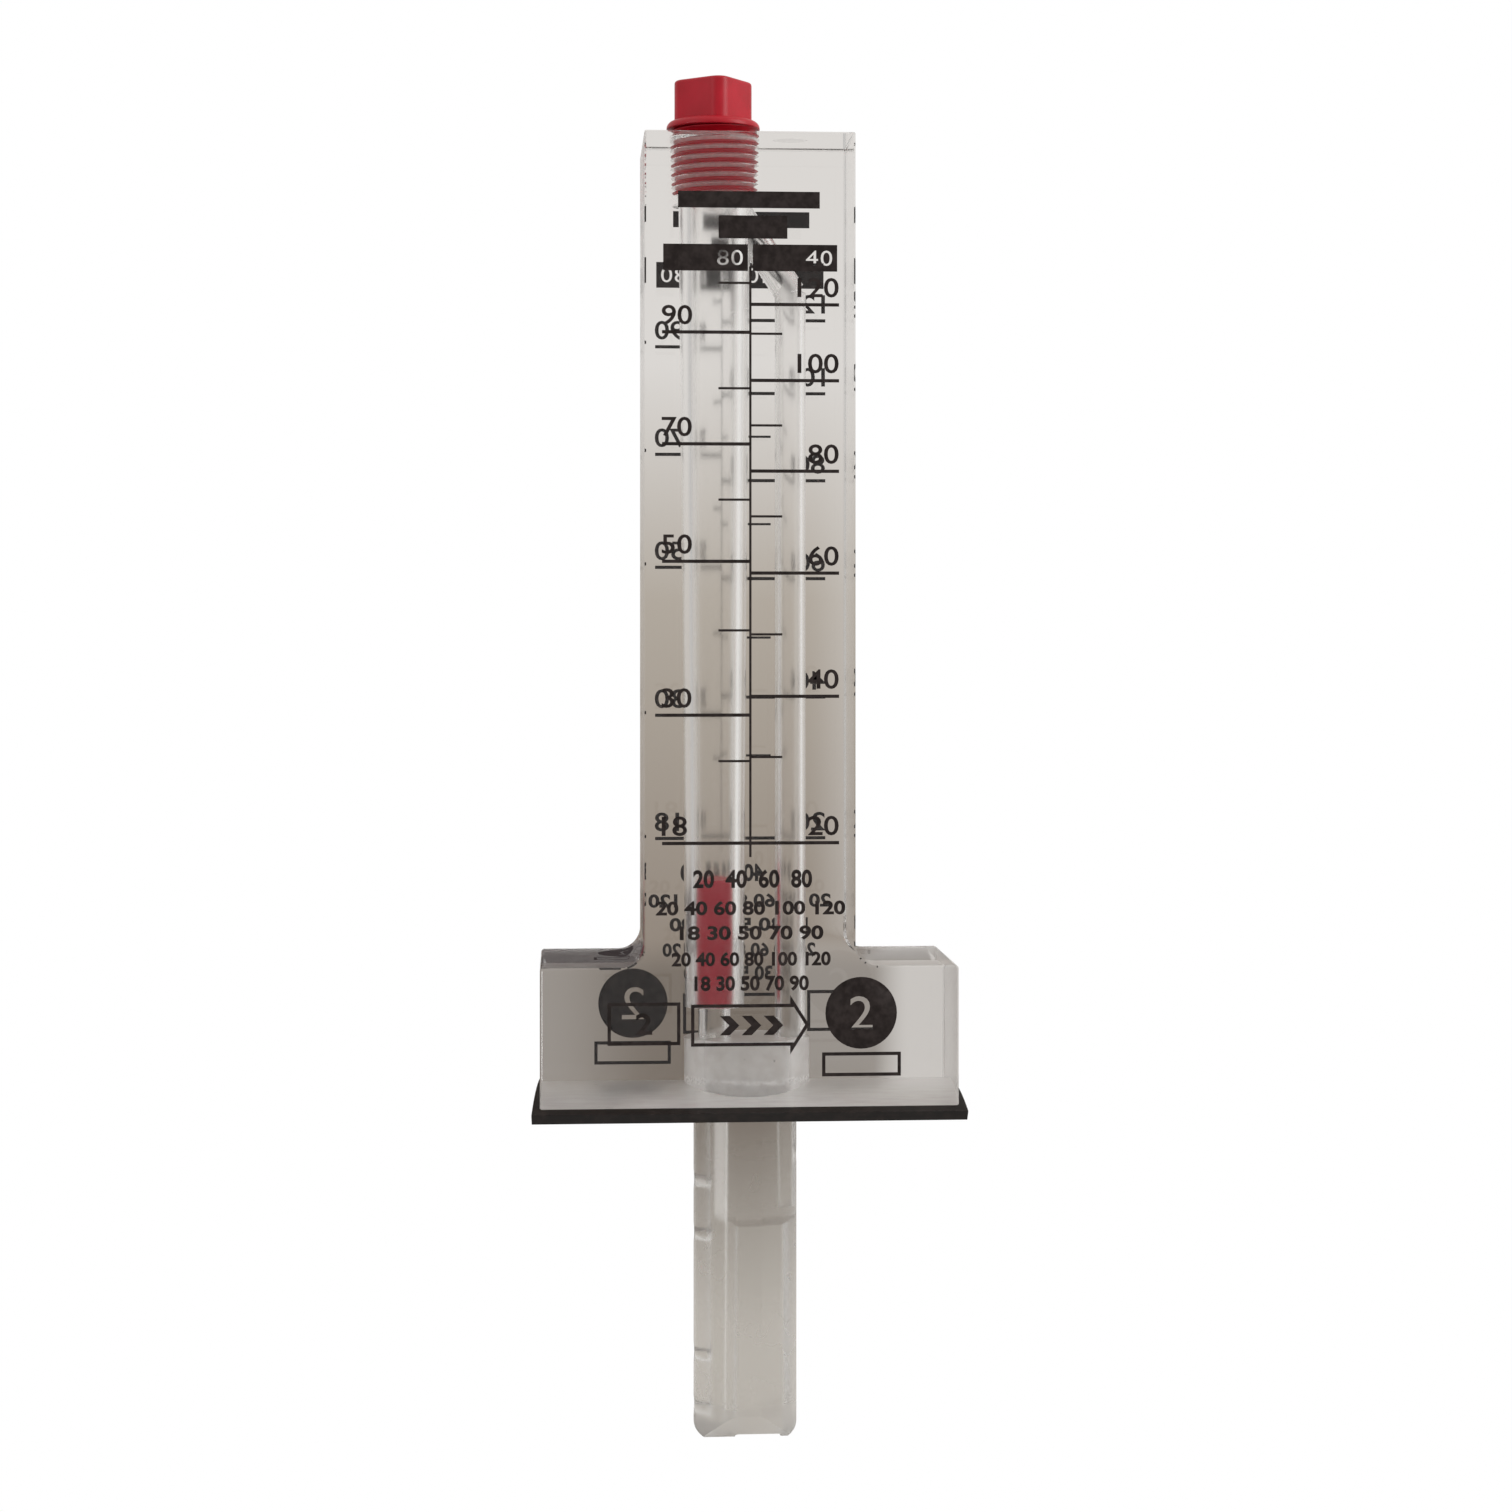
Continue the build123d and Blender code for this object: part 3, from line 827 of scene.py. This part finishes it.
def printed(name, node, place, flowSide):
    # the ink of one face in the reader's frame: the solids' shapes let into the face, then the figures
    layer = bmesh.new()
    layer.from_mesh(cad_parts[node].data)
    bmesh.ops.transform(layer, matrix=place.inverted() @ Matrix.Scale(1000, 4), verts=layer.verts)
    bmesh.ops.remove_doubles(layer, verts=layer.verts, dist=1e-3)
    for v in layer.verts:
        v.co.y = -ink["proud"] if v.co.y < -ink["cadThick"] / 2 else ink["sink"]
    cuts = []
    for text, side in (("40", flowSide), ("80", -flowSide)):
        right = side * headers["middle"] + headers["width"] / 2 - headers["inset"]
        for character in reversed(text):
            figure, width = lettering(character, headers["height"], stretch=headers["stretch"],
                                      deeper=ink["cutDeeper"])
            bmesh.ops.translate(figure, vec=(right - width, 0, headers["lift"]), verts=figure.verts)
            cuts.append(figure)
            right -= width + headers["space"]
    figure, width = lettering("2", disc["height"], stretch=disc["stretch"], deeper=ink["cutDeeper"])
    bmesh.ops.translate(figure, vec=(disc["x"] - width / 2, 0, disc["base"]), verts=figure.verts)
    if flowSide < 0:  # the back goes without the mark under 120
        mark = bmesh.new()
        bmesh.ops.create_cube(mark, size=1.0)
        bmesh.ops.scale(mark, vec=(bareMark["length"], 1.0, 1.0), verts=mark.verts)
        across = -bareMark["length"] / 2 - bareMark["clear"]
        bmesh.ops.translate(mark, vec=(across, 0, bareMark["height"]), verts=mark.verts)
        cuts.append(mark)
    layer = combined(layer, "DIFFERENCE", *cuts, figure)
    for marks, side in (("right", flowSide), ("left", -flowSide)):
        for text, height in figures[marks].items():
            figure, width = lettering(text, figures["height"], stretch=figures["stretch"],
                                      bold=figures["bold"])
            left = figures["reach"] - width if side > 0 else -figures["reach"]
            joinInto(layer, figure, left, height + figures["lift"])
    for text, middle, width, base, height in rows:
        joinInto(layer, lettering(text, height, width=width, bold=rowBold)[0], middle - width / 2, base)
    for i in range(chevrons["count"] if flowSide > 0 else 0):  # the back arrow is left bare
        across = flowSide * (chevrons["start"] + i * chevrons["step"])
        joinInto(layer, chevron(flowSide), across, chevrons["base"])
    figure, width = lettering("2", box["height"], stretch=box["stretch"], bold=box["bold"])
    joinInto(layer, figure, box["x"] - width / 2, box["base"])
    bmesh.ops.transform(layer, matrix=place, verts=layer.verts)
    return finished(name, layer, scaleInk, "meter", [node], flatArea=1000)


frontFace = Matrix.Translation((0, -ink["halfThick"], ink["saddleZ"]))
backFace = (Matrix.Translation((-ink["backShift"], ink["halfThick"], ink["saddleZ"] - ink["backDrop"]))
            @ Matrix.Rotation(pi, 4, "Z"))
frontInk = printed("frontInk", "front_scale_print", frontFace, 1)
backInk = printed("backInk", "back_scale_print", backFace, -1)
print("print made,", len(frontInk.data.polygons) + len(backInk.data.polygons), "faces")


surround = {
    "left": 0.5,
    "right": 0.82,
    "front": 0.55,
    "top": 1.0,
    "bottom": 0.8,
    "sideFade": (-0.6, 0.6),  # directions over which one tone goes over into the next
    "frontFade": (0.3, 1.0),
    "heightFade": (0.2, 0.9),
    "warmth": (1, 0.985, 0.965),
}


def studioWorld():
    # white to the camera; to the part a room that is brighter on its right, above and behind
    world = bpy.data.worlds.new("studio")
    bpy.context.scene.world = world
    world.use_nodes = True
    tree = world.node_tree
    start = Wire(tree)
    dx, dy, dz = start.node("ShaderNodeTexCoord", output=0).parts()

    def grey(value):
        return (*(value * share for share in surround["warmth"]), 1)

    room = dx.between(*surround["sideFade"]).blend(grey(surround["left"]), grey(surround["right"]))
    room = (0 - dy).between(*surround["frontFade"]).blend(room, grey(surround["front"]))
    room = dz.between(*surround["heightFade"]).blend(room, grey(surround["top"]))
    room = (0 - dz).between(*surround["heightFade"]).blend(room, grey(surround["bottom"]))
    seen = start.node("ShaderNodeLightPath", output=0)
    connect(seen.blend(room, (1, 1, 1, 1)), tree.nodes["Background"].inputs["Color"])


studioWorld()

backCard = {  # a plain sheet right behind the part, glowing with painted light and shade: light above, a painted shadow dim behind the base
    "y": 0.015,
    "reach": 0.075,
    "low": -0.09,
    "high": 0.19,
    "strength": 1.08,
    "haze": 0.043,  # what the part's own faces add to the tones behind it
    # these tones are painted light and shade: dim and shade are the part's painted shadow on the sheet,
    # light is painted light
    "light": (220, 217, 214),
    "upper": (178, 170, 160),
    "middle": (148, 138, 128),
    "dim": (124, 116, 108),
    "foot": (187, 182, 175),
    "shade": (92, 87, 88),
    "run": (
        (-0.040, "foot"), (-0.006, "dim"), (0.017, "dim"),
        (0.022, "middle"), (0.075, "upper"), (0.112, "light"),
    ),
    "liftRight": 0.75,  # how far each part of the sheet goes towards the light tone, as painted light
    "liftTowerRight": 0.37,
    "liftLeft": 0.23,
    "liftBeside": 0.5,
    "towerFade": (0.020, 0.024),  # heights, in metres
    "probeFade": (-0.006, -0.002),
    "besideTowerFade": (0.026, 0.032),
    "shadeLow": (0.0185, 0.0205),
    "shadeHigh": (0.0265, 0.029),
    "rightBase": (0.0175, 0.0265),  # places across, out from the middle
    "rightTower": (0.0090, 0.0190),
    "rightProbe": (0.0130, 0.0170),
    "leftBase": (0.012, 0.032),
    "besideSocket": (0.006, 0.0105),
    "besideTower": (0.0165, 0.019),
    "shadeAcross": (0.0165, 0.018),
}


# a tone of the card's painted light and shade, less what the part's faces add
def paintedCardTone(name):
    return tuple(max(value - backCard["haze"], 0.0) for value in linear(*backCard[name]))


def cardPaintedShade():
    # one upright run of painted light and shade, lifted with painted light towards its sides and
    # darkened with painted shade over the left shoulder
    material, _, place = newMaterial("cardPaintedShade")
    px, _, pz = place.parts()
    span = backCard["high"] - backCard["low"]
    level = (pz - backCard["low"]) / span
    stops = [((z - backCard["low"]) / span, paintedCardTone(name)) for z, name in backCard["run"]]
    tone = level.node("ShaderNodeValToRGB", {"stops": stops}, {"Fac": level})
    inTower = pz.between(*backCard["towerFade"])
    byProbe = 1 - pz.between(*backCard["probeFade"])
    inBase = (1 - inTower) * (1 - byProbe)
    limits = [base - (base - tower) * inTower - (base - probeSide) * byProbe for base, tower, probeSide
              in zip(backCard["rightBase"], backCard["rightTower"], backCard["rightProbe"])]
    rightLift = backCard["liftRight"] + (backCard["liftTowerRight"] - backCard["liftRight"]) * inTower
    beside = abs(px).between(*backCard["besideTower"]) * pz.between(*backCard["besideTowerFade"])
    lift = px.between(*limits) * rightLift
    for more in (backCard["liftLeft"] * (0 - px).between(*backCard["leftBase"]) * inBase,
                 backCard["liftLeft"] * px.between(*backCard["besideSocket"]) * inBase,
                 backCard["liftBeside"] * beside):
        lift = lift.math("MAXIMUM", lift, more)
    tone = lift.blend(tone, (*paintedCardTone("light"), 1))
    paintedShadeOverShoulder = ((0 - px).between(*backCard["shadeAcross"]) * pz.between(*backCard["shadeLow"])
                    * (1 - pz.between(*backCard["shadeHigh"])))
    tone = paintedShadeOverShoulder.blend(tone, (*paintedCardTone("shade"), 1), "DARKEN")
    # the painted tones glow, though the card is no lamp
    glow = place.node("ShaderNodeEmission", None, {"Color": tone, "Strength": backCard["strength"]})
    connect(glow, material.node_tree.nodes["Material Output"].inputs["Surface"])
    return material


cardMesh = bmesh.new()
cardMesh.faces.new([cardMesh.verts.new((x, backCard["y"], z)) for x, z in (
    (-backCard["reach"], backCard["low"]), (backCard["reach"], backCard["low"]),
    (backCard["reach"], backCard["high"]), (-backCard["reach"], backCard["high"]))])
card = asObject("card", cardMesh)
card.data.materials.append(cardPaintedShade())
# the glowing card of painted light and shade shows only through and in the part
card.visible_camera = False
card.visible_diffuse = False
card.visible_shadow = False

floorSheet = {"level": -0.21, "radius": 6.0, "tone": 0.93, "fade": (0.22, 0.45)}
floorMesh = bmesh.new()
bmesh.ops.create_circle(floorMesh, cap_ends=True, segments=64, radius=floorSheet["radius"])
bmesh.ops.translate(floorMesh, vec=(0, 0, floorSheet["level"]), verts=floorMesh.verts)
floor = asObject("floor", floorMesh)
floorMaterial, floorShader, floorPlace = newMaterial("floorPaper")
fx, fy = floorPlace.parts()[:2]
distance = (fx ** 2 + fy ** 2) ** 0.5
floorShader.inputs["Base Color"].default_value = (*(floorSheet["tone"],) * 3, 1)
floorShader.inputs["Roughness"].default_value = 0.9
glow = floorPlace.node("ShaderNodeEmission", None, {"Color": (1, 1, 1, 1), "Strength": 1.0})
paper = Wire(floorMaterial.node_tree, floorShader.outputs[0])
mixed = floorPlace.node("ShaderNodeMixShader", None, {
    0: distance.between(*floorSheet["fade"]), 1: paper, 2: glow})
connect(mixed, floorMaterial.node_tree.nodes["Material Output"].inputs["Surface"])
floor.data.materials.append(floorMaterial)
floor.visible_diffuse = False
floor.visible_glossy = False
floor.visible_transmission = False

lightTarget = (0, 0, 0.06)
lights = {  # place, size and power
    "keyLight": ((0.8, -0.35, 0.5), (0.5, 0.7), 4.4),
    "fillLight": ((-0.7, -0.5, 0.4), (0.4, 0.6), 0.8),
}


def softLight(name, place, size, power):
    data = bpy.data.lights.new(name, "AREA")
    data.shape = "RECTANGLE"
    data.size, data.size_y = size
    data.energy = power
    light = bpy.data.objects.new(name, data)
    light.location = place
    light.rotation_euler = (Vector(lightTarget) - Vector(place)).to_track_quat("-Z", "Y").to_euler()
    light.visible_camera = False
    light.visible_transmission = False
    bpy.context.scene.collection.objects.link(light)


for name, numbers in lights.items():
    softLight(name, *numbers)
print("stage and lights set")

scene = bpy.context.scene
scene.view_settings.view_transform = "Standard"
scene.cycles.max_bounces = 24
scene.cycles.transmission_bounces = 20
scene.cycles.glossy_bounces = 12
scene.cycles.diffuse_bounces = 3
scene.cycles.transparent_max_bounces = 8
scene.cycles.use_denoising = True
scene.cycles.blur_glossy = 0.0
scene.cycles.sample_clamp_indirect = 6.0
